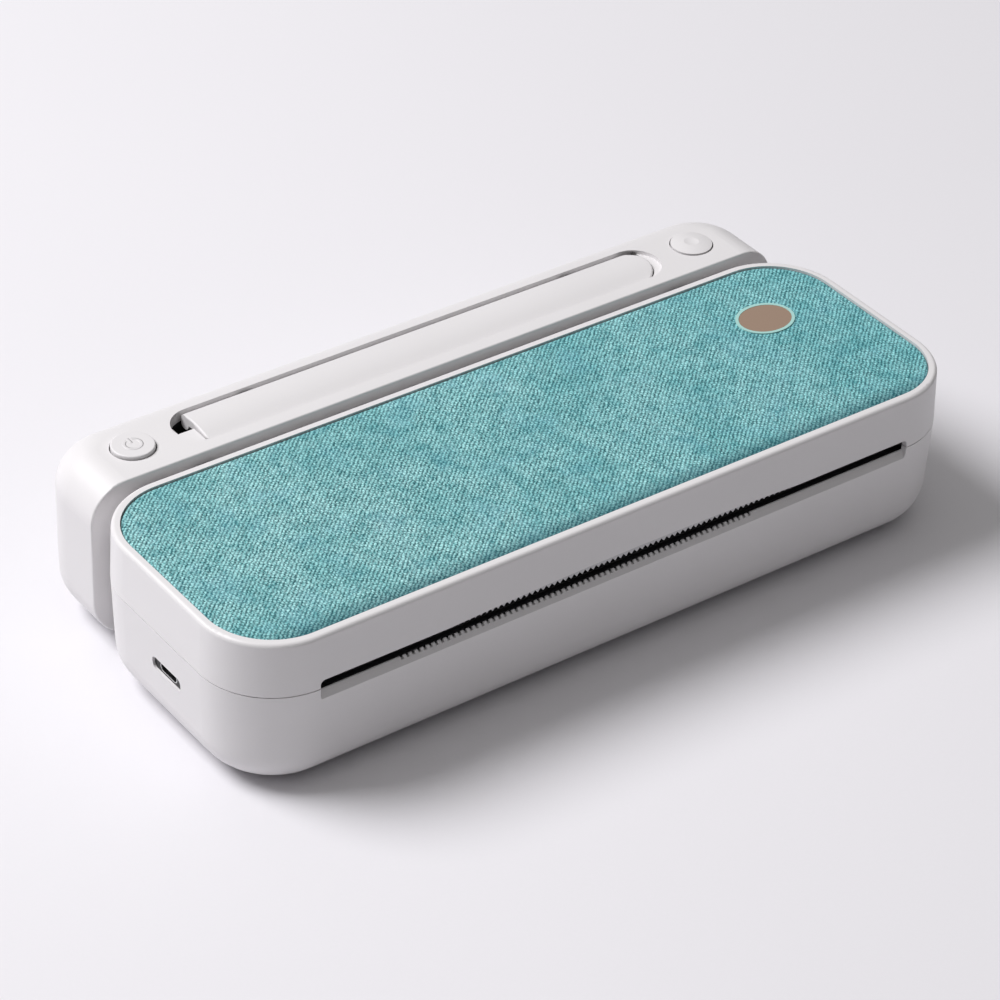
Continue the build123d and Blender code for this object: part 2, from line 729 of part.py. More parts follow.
# ---------------------------------------------------------------- platen
with BuildPart() as platen_shaft:
    add(x_rod(SHAFT_RADIUS, PLATEN_Y, PLATEN_Z, -113.0, OUTER_GEAR_X + GEAR_WIDTH + 0.6))
    chamfer(platen_shaft.faces().filter_by(Axis.X).edges(), 0.3)
save(platen_shaft, "platen_shaft")

with BuildPart() as platen_roller:
    with BuildSketch(side_plane(-ROLL_HALF)):
        with Locations((PLATEN_Y, PLATEN_Z)):
            Circle(PLATEN_RADIUS)
            Circle(SHAFT_RADIUS, mode=Mode.SUBTRACT)
    extrude(amount=2 * ROLL_HALF)
save(platen_roller, "platen_roller")

# ---------------------------------------------------------------- gear train
TOOTH_SHARE = 0.42
GEAR_PLATE_OUTLINE = [(-57, 30.5), (-6, 30.5), (-6, 6), (-8, 3.2), (-40, 3.2), (-57, 17)]


def gear_points(teeth, centre, phase):
    """Straight-flanked teeth; the phase is the bearing of one tooth's middle, in degrees."""
    pitch = 360.0 / teeth
    radius = MODULE * teeth / 2
    rings = (
        (radius - 1.3 * MODULE, -0.34),
        (radius, -TOOTH_SHARE / 2),
        (radius + MODULE, -0.1),
        (radius + MODULE, 0.1),
        (radius, TOOTH_SHARE / 2),
        (radius - 1.3 * MODULE, 0.34),
    )
    points = []
    for i in range(teeth):
        for ring, share in rings:
            angle = math.radians(phase + (i + share) * pitch)
            points.append((centre[0] + ring * math.cos(angle), centre[1] + ring * math.sin(angle)))
    return points


def gear(teeth, centre, phase, x, bore):
    with BuildPart() as wheel:
        with BuildSketch(side_plane(x)):
            with BuildLine():
                Polyline(*gear_points(teeth, centre, phase), close=True)
            make_face()
            with Locations(centre):
                Circle(bore, mode=Mode.SUBTRACT)
        extrude(amount=GEAR_WIDTH)
    return wheel.part


def matched_phase(teeth, centre, driver_teeth, driver_centre, driver_phase):
    """The phase at which a gear's gap meets its driver's tooth on the line of centres."""
    offset = bearing(driver_centre, centre) - driver_phase
    return bearing(centre, driver_centre) + offset * driver_teeth / teeth + 180.0 / teeth


with BuildPart() as platen_gear:
    phase = matched_phase(PLATEN_TEETH, PLATEN, IDLER_TEETH, IDLER, 0.0)
    add(gear(PLATEN_TEETH, PLATEN, phase, OUTER_GEAR_X, SHAFT_RADIUS))
save(platen_gear, "platen_gear")

with BuildPart() as idler_gear:
    add(gear(IDLER_TEETH, IDLER, 0.0, OUTER_GEAR_X, POST_RADIUS + RUN_FIT))
save(idler_gear, "idler_gear")

with BuildPart() as reduction_gear:
    small_phase = matched_phase(SMALL_TEETH, REDUCTION, IDLER_TEETH, IDLER, 0.0)
    large_phase = bearing(REDUCTION, MOTOR)
    add(gear(LARGE_TEETH, REDUCTION, large_phase, INNER_GEAR_X, POST_RADIUS + RUN_FIT))
    add(gear(SMALL_TEETH, REDUCTION, small_phase, OUTER_GEAR_X, POST_RADIUS + RUN_FIT))
    with BuildSketch(side_plane(INNER_GEAR_X + GEAR_WIDTH)):
        with Locations(REDUCTION):
            Circle(2.6)
            Circle(POST_RADIUS + RUN_FIT, mode=Mode.SUBTRACT)
    extrude(amount=OUTER_GEAR_X - INNER_GEAR_X - GEAR_WIDTH)
save(reduction_gear, "reduction_gear")

with BuildPart() as motor_pinion:
    pinion_phase = bearing(MOTOR, REDUCTION) + 180.0 / PINION_TEETH
    add(gear(PINION_TEETH, MOTOR, pinion_phase, INNER_GEAR_X, 1.0))
save(motor_pinion, "motor_pinion")

STANDOFFS = [(-7.0, 27.0), (-7.0, 9.0)]
FLANGE_X = OUTER_GEAR_X
FLANGE_THICK = 0.8

with BuildPart() as gear_bracket:
    with BuildSketch(side_plane(PLATE_X)):
        with BuildLine():
            Polyline(*GEAR_PLATE_OUTLINE, close=True)
        make_face()
    extrude(amount=PLATE_THICK)
    add(x_block((PLATE_X, 117.5), (-40, -8), (FLOOR_TOP, FLOOR_TOP + PLATE_THICK)))
    for y, z in (IDLER, REDUCTION):
        add(x_rod(POST_RADIUS, y, z, PLATE_X, OUTER_GEAR_X + GEAR_WIDTH + 1.0))
    add(x_rod(POST_RADIUS + 0.2, IDLER[0], IDLER[1], PLATE_X, OUTER_GEAR_X - CLEAR))
    for y, z in STANDOFFS:
        add(x_rod(1.8, y, z, PLATE_X, FLANGE_X))
        add(x_rod(0.9, y, z, FLANGE_X - 2.5, FLANGE_X), mode=Mode.SUBTRACT)
    for x, y in FOOT_SCREWS:
        add(z_rod(SCREW_SHANK, x, y, FLOOR_TOP - 1, FLOOR_TOP + 2), mode=Mode.SUBTRACT)
save(gear_bracket, "gear_bracket")

with BuildPart() as gear_clips:
    for y, z in (IDLER, REDUCTION):
        with BuildSketch(side_plane(OUTER_GEAR_X + GEAR_WIDTH + CLEAR)):
            with Locations((y, z)):
                Circle(2.2)
                Circle(POST_RADIUS, mode=Mode.SUBTRACT)
        extrude(amount=0.5)
save(gear_clips, "gear_clips")

with BuildPart() as bracket_screws:
    for x, y in FOOT_SCREWS:
        add(z_rod(2.0, x, y, FLOOR_TOP + PLATE_THICK, FLOOR_TOP + PLATE_THICK + 0.8))
        add(z_rod(SCREW_SHANK, x, y, FLOOR_TOP - 1.2, FLOOR_TOP + PLATE_THICK))
    for y, z in STANDOFFS:
        add(x_rod(1.5, y, z, FLANGE_X + FLANGE_THICK, FLANGE_X + FLANGE_THICK + 0.8))
        add(x_rod(0.9, y, z, FLANGE_X - 2.5, FLANGE_X + FLANGE_THICK))
save(bracket_screws, "bracket_screws")

with BuildPart() as motor_body:
    with BuildSketch(side_plane(FLANGE_X)):
        with Locations(MOTOR):
            Circle(MOTOR_RADIUS)
        with Locations((-11.0, MOTOR[1])):
            RectangleRounded(11.5, 22.0, 2.0)
        for place in STANDOFFS:
            with Locations(place):
                Circle(0.9, mode=Mode.SUBTRACT)
    extrude(amount=FLANGE_THICK)
    add(x_rod(MOTOR_RADIUS, MOTOR[0], MOTOR[1], FLANGE_X, FLANGE_X + FLANGE_THICK + MOTOR_LENGTH))
    add(x_rod(1.0 + RUN_FIT, MOTOR[0], MOTOR[1], FLANGE_X - 1, FLANGE_X + 5), mode=Mode.SUBTRACT)
save(motor_body, "motor_body")

with BuildPart() as motor_shaft:
    add(x_rod(1.0, MOTOR[0], MOTOR[1], INNER_GEAR_X, FLANGE_X + 4.6))
save(motor_shaft, "motor_shaft")

# ---------------------------------------------------------------- print head
HEAD_Y = (-55.5, -40.0)
SINK_Z = (31.2, 36.2)
HEAD_SEAT_Z = 25.0
HEAD_PLATE = 1.2
SPRING_PLACES = [(x, PLATEN_Y) for x in (-75.0, -25.0, 25.0, 75.0)]
SPRING_RADIUS = 2.2
SPRING_WIRE = 0.35

with BuildPart() as heat_sink:
    add(x_block((-HEAD_HALF, HEAD_HALF), HEAD_Y, SINK_Z))
    for i in range(3):
        y = HEAD_Y[0] + 2.6 + i * 1.9
        add(x_block((-110, 110), (y, y + 0.9), (SINK_Z[0] - 1, SINK_Z[0] + 1.6)), mode=Mode.SUBTRACT)
    for side in (-1, 1):
        inner, outer = side * (HEAD_HALF - 1), side * 110.2
        add(x_block((min(inner, outer), max(inner, outer)), (-49.5, -46.0), (32.0, 35.0)))
save(heat_sink, "heat_sink")

with BuildPart() as head_substrate:
    add(x_block((-107, 107), (-52.0, -42.0), (SINK_Z[1], NIP_Z - CLEAR)))
save(head_substrate, "head_substrate")

with BuildPart() as head_bracket:
    low, high = HEAD_SEAT_Z, HEAD_SEAT_Z + HEAD_PLATE
    add(x_block((-109.2, 109.2), (-56.0, -39.5), (low, high)))
    for side in (-1, 1):
        inner, outer = side * 108.0, side * 109.2
        span = (min(inner, outer), max(inner, outer))
        add(x_block(span, (-54.0, -41.5), (low, 36.0)))
        add(x_block((span[0] - 1, span[1] + 1), (-49.8, -45.7), (30.9, 37.0)), mode=Mode.SUBTRACT)
    for x, y in HEAD_POSTS:
        add(z_rod(SCREW_SHANK, x, y, low - 1, high + 1), mode=Mode.SUBTRACT)
save(head_bracket, "head_bracket")

with BuildPart() as head_screws:
    for x, y in HEAD_POSTS:
        add(z_rod(1.9, x, y, HEAD_SEAT_Z + HEAD_PLATE, HEAD_SEAT_Z + HEAD_PLATE + 1.0))
        add(z_rod(SCREW_SHANK, x, y, 17.0, HEAD_SEAT_Z + HEAD_PLATE))
save(head_screws, "head_screws")

with BuildPart() as head_springs:
    spring_base = HEAD_SEAT_Z + HEAD_PLATE + SPRING_WIRE
    spring_height = SINK_Z[0] - SPRING_WIRE - spring_base
    for x, y in SPRING_PLACES:
        with BuildLine(Plane(origin=(x, y, spring_base))) as coil:
            Helix(pitch=spring_height / 4, height=spring_height, radius=SPRING_RADIUS)
        with BuildSketch(Plane(origin=coil.line @ 0, z_dir=coil.line % 0)):
            Circle(SPRING_WIRE)
        sweep(path=coil.line, is_frenet=True)
save(head_springs, "head_springs")

# ---------------------------------------------------------------- sensor and charging port
with BuildPart() as paper_sensor:
    add(x_block((-64.0, -52.0), (-37.5, -33.0), (DECK_Z, DECK_Z + 1.2)))
    add(x_block((-60.0, -56.0), (-36.2, -34.3), (DECK_Z + 0.8, DECK_Z + 1.4)), mode=Mode.SUBTRACT)
save(paper_sensor, "paper_sensor")


def port_solid(x, length, width, height, radius):
    with BuildPart() as solid:
        with BuildSketch(port_plane(x)):
            RectangleRounded(width, height, radius)
        extrude(amount=length)
    return solid.part


USB_WIDTH = 8.94
USB_HEIGHT = 3.26
USB_LENGTH = 7.3

with BuildPart() as usb_receptacle:
    add(port_solid(PORT_FACE, USB_LENGTH, USB_WIDTH, USB_HEIGHT, USB_HEIGHT / 2 - 0.01))
    inner = USB_HEIGHT - 0.6
    add(
        port_solid(PORT_FACE - 1, USB_LENGTH, USB_WIDTH - 0.6, inner, inner / 2 - 0.01),
        mode=Mode.SUBTRACT,
    )
save(usb_receptacle, "usb_receptacle")

with BuildPart() as usb_tongue:
    with BuildSketch(port_plane(PORT_FACE + 0.7)):
        Rectangle(6.7, 0.7)
    extrude(amount=USB_LENGTH - 1.7)
save(usb_tongue, "usb_tongue")

with BuildPart() as port_bezel:
    add(port_solid(PORT_FACE, PORT_FLANGE + 0.1 - PORT_FACE, PORT_LENGTH, PORT_HEIGHT, 1.7))
    add(port_solid(PORT_FLANGE, 1.2, PORT_LENGTH + 3, PORT_HEIGHT + 3, 2.0))
    add(
        port_solid(PORT_FACE - 1, 5, USB_WIDTH, USB_HEIGHT, USB_HEIGHT / 2 - 0.01),
        mode=Mode.SUBTRACT,
    )
save(port_bezel, "port_bezel")

with BuildPart() as usb_board:
    add(x_block((-127.6, -112.0), (-31.0, -8.0), (PORT_BOARD_Z, PORT_BOARD_Z + 1.6)))
    for x, y in PORT_POSTS:
        add(z_rod(SCREW_SHANK, x, y, PORT_BOARD_Z - 1, PORT_BOARD_Z + 3), mode=Mode.SUBTRACT)
save(usb_board, "usb_board")

with BuildPart() as board_screws:
    for x, y in PORT_POSTS:
        add(z_rod(2.0, x, y, PORT_BOARD_Z + 1.6, PORT_BOARD_Z + 2.6))
        add(z_rod(SCREW_SHANK, x, y, 13.0, PORT_BOARD_Z + 1.6))
save(board_screws, "board_screws")

# ---------------------------------------------------------------- rear unit shell
PANEL_Y = (REAR_FRONT + WALL, REAR_FRONT + WALL + 2.0)
PANEL_SCREWS = [(x, z) for x in (-116.5, 116.5) for z in (15.0, 42.0)]
FLAP_FRONT = RECESS_Y - RECESS_WIDTH / 2 + 0.4
FLAP_REAR = FLAP_AXIS_Y + FLAP_KNUCKLE
FLAP_MID = (FLAP_FRONT + FLAP_REAR) / 2
FLAP_WIDTH = FLAP_REAR - FLAP_FRONT
SWITCH_POSTS = [
    (side * BUTTON_X + x, RECESS_Y + y) for side in (-1, 1) for x, y in ((-8.0, -7.0), (8.0, 7.0))
]
SWITCH_BOARD_Z = 45.0
BUTTON_FLANGE = 7.9
REAR_OUTER = rear_block(0.0)
REAR_INNER = rear_block(WALL)


def stadium(half, width, base_z, top_z):
    """An upright block with round ends, as long as twice the half length."""
    with BuildPart() as block:
        with BuildSketch(Plane(origin=(0, RECESS_Y, base_z))):
            SlotOverall(2 * half, width)
        extrude(amount=top_z - base_z)
    return block.part


def flap_well():
    """The opening under the flap, with a finger hole past its straight end."""
    gap = 0.4
    end = FLAP_RIGHT - FLAP_WIDTH / 2
    rear = RECESS_Y + RECESS_WIDTH / 2
    front = RECESS_Y - RECESS_WIDTH / 2
    low, high = PAD_Z - 1, DECK_TOP + 1
    with BuildPart() as well:
        add(x_block((FLAP_LEFT - gap, end), (front, rear), (low, high)))
        add(z_rod(FLAP_WIDTH / 2 + gap, end, FLAP_MID, low, high))
        add(x_block((FLAP_LEFT - 5.9, FLAP_LEFT), (RECESS_Y, rear), (low, high)))
        add(stadium(RECESS_HALF, RECESS_WIDTH, low, high), mode=Mode.INTERSECT)
        # Under the deck's lip, room for the flap's rear edge to turn at its round end.
        add(x_block((end - 2, FLAP_RIGHT + 0.6), (RECESS_Y + 4, rear), (low, DECK_TOP - 0.6)))
    return well.part


FLAP_WELL = flap_well()

with BuildPart() as rear_housing:
    add(REAR_OUTER)
    add(REAR_INNER, mode=Mode.SUBTRACT)
    with BuildSketch(Plane(origin=(0, REAR_FRONT - 1, 28.5), x_dir=(-1, 0, 0), z_dir=(0, 1, 0))):
        RectangleRounded(224, 33, 6)
    extrude(amount=WALL + 2, mode=Mode.SUBTRACT)
    add(stadium(RECESS_HALF + 1.6, RECESS_WIDTH + 3.2, PAD_Z, DECK_TOP - 1))
    add(stadium(RECESS_HALF, RECESS_WIDTH, LEDGE_Z, DECK_TOP + 1), mode=Mode.SUBTRACT)
    add(FLAP_WELL, mode=Mode.SUBTRACT)
    for side in (-1, 1):
        add(z_rod(BUTTON_RADIUS + BUTTON_GAP, side * BUTTON_X, RECESS_Y, 50, 60), mode=Mode.SUBTRACT)
    for x, y in SWITCH_POSTS:
        add(z_rod(2.0, x, y, SWITCH_BOARD_Z + 1.6, DECK_TOP - WALL + 0.3))
        add(z_rod(0.9, x, y, SWITCH_BOARD_Z, SWITCH_BOARD_Z + 6), mode=Mode.SUBTRACT)
    for x, z in PANEL_SCREWS:
        add(y_rod(SCREW_SHANK, x, z, REAR_FRONT + 0.6, REAR_FRONT + WALL + 1), mode=Mode.SUBTRACT)
save(rear_housing, "rear_housing")

with BuildPart() as rear_panel:
    with BuildSketch(Plane(origin=(0, PANEL_Y[0], 28.5), x_dir=(-1, 0, 0), z_dir=(0, 1, 0))):
        RectangleRounded(242, 43, 5)
        for x, z in PANEL_SCREWS:
            with Locations((-x, z - 28.5)):
                Circle(SCREW_SHANK, mode=Mode.SUBTRACT)
        for x in LINK_X:
            with Locations((-x, LINK_Z - 28.5)):
                Circle(1.5, mode=Mode.SUBTRACT)
        with Locations((-GROMMET_X, GROMMET_Z - 28.5)):
            Circle(5.0, mode=Mode.SUBTRACT)
    extrude(amount=PANEL_Y[1] - PANEL_Y[0])
save(rear_panel, "rear_panel")

with BuildPart() as panel_screws:
    for x, z in PANEL_SCREWS:
        add(y_rod(2.0, x, z, PANEL_Y[1], PANEL_Y[1] + 1.2))
        add(y_rod(SCREW_SHANK, x, z, REAR_FRONT + 0.6, PANEL_Y[1]))
save(panel_screws, "panel_screws")

with BuildPart() as link_spacers:
    for x in LINK_X:
        add(y_rod(4.0, x, LINK_Z, BODY_REAR, PANEL_Y[0]))
        add(y_rod(1.5, x, LINK_Z, BODY_REAR - 1, PANEL_Y[0] + 1), mode=Mode.SUBTRACT)
save(link_spacers, "link_spacers")

with BuildPart() as link_screws:
    for x in LINK_X:
        add(y_rod(3.0, x, LINK_Z, BODY_REAR - 4.65, BODY_REAR - 3.15))
        add(y_rod(1.5, x, LINK_Z, BODY_REAR - 3.15, PANEL_Y[1]))
save(link_screws, "link_screws")

with BuildPart() as wire_grommet:
    add(y_rod(5.0, GROMMET_X, GROMMET_Z, ARM_REAR + 0.1, PANEL_Y[1] + 0.4))
    add(y_rod(3.5, GROMMET_X, GROMMET_Z, ARM_REAR - 1, PANEL_Y[1] + 1), mode=Mode.SUBTRACT)
save(wire_grommet, "wire_grommet")

# ---------------------------------------------------------------- buttons
BUTTON_BASE = DECK_TOP - WALL - 1.5
BUTTON_TOP = DECK_TOP + BUTTON_PROUD


def button(side, edge):
    """A round key: a cap with a soft edge, a flange under the deck, and a stem."""
    x = side * BUTTON_X
    with BuildPart() as key:
        add(z_rod(BUTTON_RADIUS, x, RECESS_Y, BUTTON_BASE, BUTTON_TOP))
        fillet(key.faces().sort_by(Axis.Z)[-1].edges(), edge)
        add(z_rod(BUTTON_FLANGE, x, RECESS_Y, BUTTON_BASE, BUTTON_BASE + 1.2))
        add(z_rod(2.0, x, RECESS_Y, 49.6, BUTTON_BASE))
    return key.part


with BuildPart() as power_button:
    add(button(-1, 0.5))
save(power_button, "power_button")

with BuildPart() as feed_button:
    add(button(1, 0.5))
    with Locations((BUTTON_X, RECESS_Y, BUTTON_TOP - DOME_RADIUS)):
        Sphere(DOME_RADIUS, mode=Mode.INTERSECT)
    with Locations((BUTTON_X, RECESS_Y, BUTTON_TOP + DIMPLE_RADIUS - DIMPLE_DEPTH)):
        Sphere(DIMPLE_RADIUS, mode=Mode.SUBTRACT)
save(feed_button, "feed_button")

with BuildPart() as button_boards:
    for side in (-1, 1):
        x = side * BUTTON_X
        add(x_block((x - 10.4, x + 10.4), (33.4, 51.2), (SWITCH_BOARD_Z, SWITCH_BOARD_Z + 1.6)))
    for x, y in SWITCH_POSTS:
        add(z_rod(0.9, x, y, SWITCH_BOARD_Z - 1, SWITCH_BOARD_Z + 3), mode=Mode.SUBTRACT)
save(button_boards, "button_boards")

with BuildPart() as button_switches:
    for side in (-1, 1):
        x = side * BUTTON_X
        top = SWITCH_BOARD_Z + 1.6
        add(x_block((x - 3, x + 3), (RECESS_Y - 3, RECESS_Y + 3), (top, top + 1.3)))
        add(z_rod(1.6, x, RECESS_Y, top + 1.3, top + 1.8))
save(button_switches, "button_switches")

with BuildPart() as switch_screws:
    for x, y in SWITCH_POSTS:
        add(z_rod(1.7, x, y, SWITCH_BOARD_Z - 1.0, SWITCH_BOARD_Z))
        add(z_rod(0.9, x, y, SWITCH_BOARD_Z, SWITCH_BOARD_Z + 6))
save(switch_screws, "switch_screws")

# ---------------------------------------------------------------- flap and the tray under it
LUG_RADIUS = 1.6
LUG_HALF = 2.0
TRAY_FLOOR_Z = 45.0
TRAY_X = (-90.5, 89.0)
TRAY_Y = (32.9, 52.0)
PIN_HALF = 6.0

with BuildPart() as flap_tray:
    thick = 1.2
    add(x_block(TRAY_X, TRAY_Y, (TRAY_FLOOR_Z, PAD_Z)))
    fillet(flap_tray.edges().filter_by(Axis.Z), 4.0)
    with BuildSketch(Plane(origin=(0, 0, TRAY_FLOOR_Z + thick))):
        with Locations(((TRAY_X[0] + TRAY_X[1]) / 2, (TRAY_Y[0] + TRAY_Y[1]) / 2)):
            RectangleRounded(
                TRAY_X[1] - TRAY_X[0] - 2 * thick, TRAY_Y[1] - TRAY_Y[0] - 2 * thick, 4.0 - thick
            )
    extrude(amount=10, mode=Mode.SUBTRACT)
    for x in (-FLAP_HINGE_X, FLAP_HINGE_X):
        with BuildSketch(side_plane(x - LUG_HALF)):
            with Locations((FLAP_AXIS_Y, FLAP_AXIS_Z)):
                Circle(LUG_RADIUS)
            with Locations((FLAP_AXIS_Y, (FLAP_AXIS_Z + TRAY_FLOOR_Z + thick) / 2)):
                Rectangle(2 * LUG_RADIUS, FLAP_AXIS_Z - TRAY_FLOOR_Z - thick)
        extrude(amount=2 * LUG_HALF)
        add(
            x_rod(1.0 + RUN_FIT, FLAP_AXIS_Y, FLAP_AXIS_Z, x - LUG_HALF - 1, x + LUG_HALF + 1),
            mode=Mode.SUBTRACT,
        )
save(flap_tray, "flap_tray")


def flap_section():
    """The flap's cross-section: a crowned lid with a round rear edge about the hinge."""
    with BuildPart() as section:
        with BuildSketch(side_plane(FLAP_LEFT)):
            with BuildLine():
                rear = (FLAP_AXIS_Y, FLAP_AXIS_Z + FLAP_KNUCKLE)
                front = (FLAP_FRONT, DECK_TOP - 1.6)
                ThreePointArc(rear, (RECESS_Y + 0.6, DECK_TOP + 0.2), front)
                Line(front, (FLAP_FRONT, DECK_TOP - 2.8))
                Line((FLAP_FRONT, DECK_TOP - 2.8), (FLAP_FRONT + 1.0, DECK_TOP - 3.6))
                ThreePointArc(
                    (FLAP_FRONT + 1.0, DECK_TOP - 3.6),
                    (RECESS_Y - 1.0, DECK_TOP - 2.4),
                    (FLAP_AXIS_Y - FLAP_KNUCKLE + 0.5, FLAP_AXIS_Z - 0.3),
                )
                Line((FLAP_AXIS_Y - FLAP_KNUCKLE + 0.5, FLAP_AXIS_Z - 0.3), (FLAP_AXIS_Y, FLAP_AXIS_Z))
                Line((FLAP_AXIS_Y, FLAP_AXIS_Z), rear)
            make_face()
            with Locations((FLAP_AXIS_Y, FLAP_AXIS_Z)):
                Circle(FLAP_KNUCKLE)
        extrude(amount=FLAP_RIGHT - FLAP_LEFT)
    return section.part


def flap_outline():
    """The flap in plan: straight at its left end, round at its right end."""
    end = FLAP_RIGHT - FLAP_WIDTH / 2
    with BuildPart() as outline:
        with BuildSketch(Plane(origin=(0, 0, 50))):
            with Locations(((FLAP_LEFT + end) / 2, FLAP_MID)):
                Rectangle(end - FLAP_LEFT, FLAP_WIDTH)
            with Locations((end, FLAP_MID)):
                Circle(FLAP_WIDTH / 2)
        extrude(amount=8)
        corner = outline.edges().filter_by(Axis.Z).group_by(Axis.X)[0].sort_by(Axis.Y)[0]
        fillet(corner, 3.0)
        corner = outline.edges().filter_by(Axis.Z).group_by(Axis.X)[0].sort_by(Axis.Y)[-1]
        fillet(corner, 0.8)
    return outline.part


with BuildPart() as rear_flap:
    add(flap_section())
    add(flap_outline(), mode=Mode.INTERSECT)
    crown = rear_flap.edges().filter_by(
        lambda e: e.center().Z > DECK_TOP - 1.2 and e.center().X > FLAP_RIGHT - FLAP_WIDTH / 2
    )
    fillet(crown, 0.6)
    for x in (-FLAP_HINGE_X, FLAP_HINGE_X):
        half = LUG_HALF + 0.4
        add(
            x_block(
                (x - half, x + half),
                (FLAP_AXIS_Y - 2.2, FLAP_AXIS_Y + 3),
                (50, FLAP_AXIS_Z + 1.35),
            ),
            mode=Mode.SUBTRACT,
        )
        add(
            x_rod(LUG_RADIUS + 0.35, FLAP_AXIS_Y, FLAP_AXIS_Z, x - half, x + half),
            mode=Mode.SUBTRACT,
        )
        add(
            x_rod(1.0, FLAP_AXIS_Y, FLAP_AXIS_Z, x - PIN_HALF, x + PIN_HALF),
            mode=Mode.SUBTRACT,
        )
save(rear_flap, "rear_flap")

with BuildPart() as flap_pins:
    for x in (-FLAP_HINGE_X, FLAP_HINGE_X):
        add(x_rod(1.0, FLAP_AXIS_Y, FLAP_AXIS_Z, x - PIN_HALF, x + PIN_HALF))
save(flap_pins, "flap_pins")

# ---------------------------------------------------------------- battery and main board
CELL_RADIUS = 9.1
CELL_LENGTH = 65.0
CELL_Y = 43.5
CELL_Z = 14.0
BOARD_Z = 30.0
BOARD_HOLES = [(x, y) for x in (-72.0, 72.0) for y in (37.0, 51.0)]

with BuildPart() as battery_cells:
    for x in (-68.0, 3.0):
        add(x_rod(CELL_RADIUS, CELL_Y, CELL_Z, x, x + CELL_LENGTH))
    fillet(battery_cells.faces().filter_by(Axis.X).edges(), 0.8)
    for x in (-3.0, 68.0):
        add(x_rod(2.8, CELL_Y, CELL_Z, x, x + 0.6))
save(battery_cells, "battery_cells")

with BuildPart() as battery_tray:
    with BuildSketch(side_plane(-74.0)):
        with Locations((CELL_Y, 9.5)):
            RectangleRounded(19.6, 11.6, 4.0)
        with Locations((CELL_Y, CELL_Z)):
            Circle(CELL_RADIUS, mode=Mode.SUBTRACT)
    extrude(amount=148.0)
    for x in (-72.0, 70.0):
        add(x_block((x, x + 2.0), (CELL_Y - 9.8, CELL_Y + 9.8), (7.0, 24.0)))
    for x, y in BOARD_HOLES:
        add(z_rod(2.6, x, y, 9.0, BOARD_Z))
    for x, y in BOARD_HOLES:
        add(z_rod(SCREW_SHANK, x, y, 22.0, BOARD_Z + 1), mode=Mode.SUBTRACT)
    add(x_block((-60, 60), (CELL_Y - 5, CELL_Y + 3.5), (FLOOR_TOP, 4.2)))
save(battery_tray, "battery_tray")

with BuildPart() as main_board:
    add(x_block((-76, 76), (33.6, 57.0), (BOARD_Z, BOARD_Z + 1.6)))
    for x, y in BOARD_HOLES:
        add(z_rod(SCREW_SHANK, x, y, BOARD_Z - 1, BOARD_Z + 3), mode=Mode.SUBTRACT)
save(main_board, "main_board")

BOARD_PARTS = [
    (-20.0, 45.0, 14.0, 14.0, 1.4),
    (14.0, 46.0, 9.0, 9.0, 1.2),
    (40.0, 47.0, 16.0, 12.0, 2.4),
    (-48.0, 44.0, 8.0, 6.0, 3.2),
    (62.0, 40.0, 9.0, 5.0, 4.5),
    (-62.0, 46.0, 6.0, 12.0, 4.5),
]

with BuildPart() as board_parts:
    for x, y, length, width, height in BOARD_PARTS:
        with BuildSketch(Plane(origin=(x, y, BOARD_Z + 1.6))):
            Rectangle(length, width)
        extrude(amount=height)
save(board_parts, "board_parts")

with BuildPart() as main_screws:
    for x, y in BOARD_HOLES:
        add(z_rod(2.0, x, y, BOARD_Z + 1.6, BOARD_Z + 2.8))
        add(z_rod(SCREW_SHANK, x, y, 23.0, BOARD_Z + 1.6))
save(main_screws, "main_screws")
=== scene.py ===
import json
import math
import bpy
from mathutils import Matrix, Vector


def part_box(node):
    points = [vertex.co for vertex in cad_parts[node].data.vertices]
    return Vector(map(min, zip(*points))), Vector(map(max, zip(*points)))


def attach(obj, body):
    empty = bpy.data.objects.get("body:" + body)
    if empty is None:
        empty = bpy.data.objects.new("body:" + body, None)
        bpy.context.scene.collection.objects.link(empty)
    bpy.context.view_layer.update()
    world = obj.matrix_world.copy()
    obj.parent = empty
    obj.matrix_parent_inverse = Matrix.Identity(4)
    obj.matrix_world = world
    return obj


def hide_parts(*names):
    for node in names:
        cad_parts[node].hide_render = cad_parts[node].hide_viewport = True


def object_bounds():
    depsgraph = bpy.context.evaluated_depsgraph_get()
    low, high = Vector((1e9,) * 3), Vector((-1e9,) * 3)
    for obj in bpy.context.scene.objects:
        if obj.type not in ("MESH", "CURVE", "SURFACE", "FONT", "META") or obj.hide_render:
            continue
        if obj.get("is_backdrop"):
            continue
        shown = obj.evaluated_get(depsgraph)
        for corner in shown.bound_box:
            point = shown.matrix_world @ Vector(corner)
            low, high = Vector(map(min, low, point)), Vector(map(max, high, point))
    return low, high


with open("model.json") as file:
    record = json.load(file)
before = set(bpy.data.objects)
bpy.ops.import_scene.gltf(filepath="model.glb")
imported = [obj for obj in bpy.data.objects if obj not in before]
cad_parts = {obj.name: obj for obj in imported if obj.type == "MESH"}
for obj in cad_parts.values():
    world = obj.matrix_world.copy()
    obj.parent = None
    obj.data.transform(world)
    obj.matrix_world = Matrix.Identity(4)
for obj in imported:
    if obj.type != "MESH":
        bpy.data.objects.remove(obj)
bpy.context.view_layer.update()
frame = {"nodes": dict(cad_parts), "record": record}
MM = 0.001
WHITE = (0.775, 0.760, 0.768)  # the shell plastic

PITCH_X, PITCH_Y = 0.86 * MM, 0.78 * MM  # thread spacing of the cover's fabric
CLOTH_CORNER = 20.95 * MM
ROLL_WIDTH, ROLL_DROP = 2.1 * MM, 0.52 * MM  # how the cloth's edge turns down
ROLL_STEPS = 9
ROLL_SHADE = (0.05290, 0.05335)  # heights between which the rolled edge falls into shade
FRONT_SHADE = 6.5 * MM  # width of the darker band along the cloth's front edge

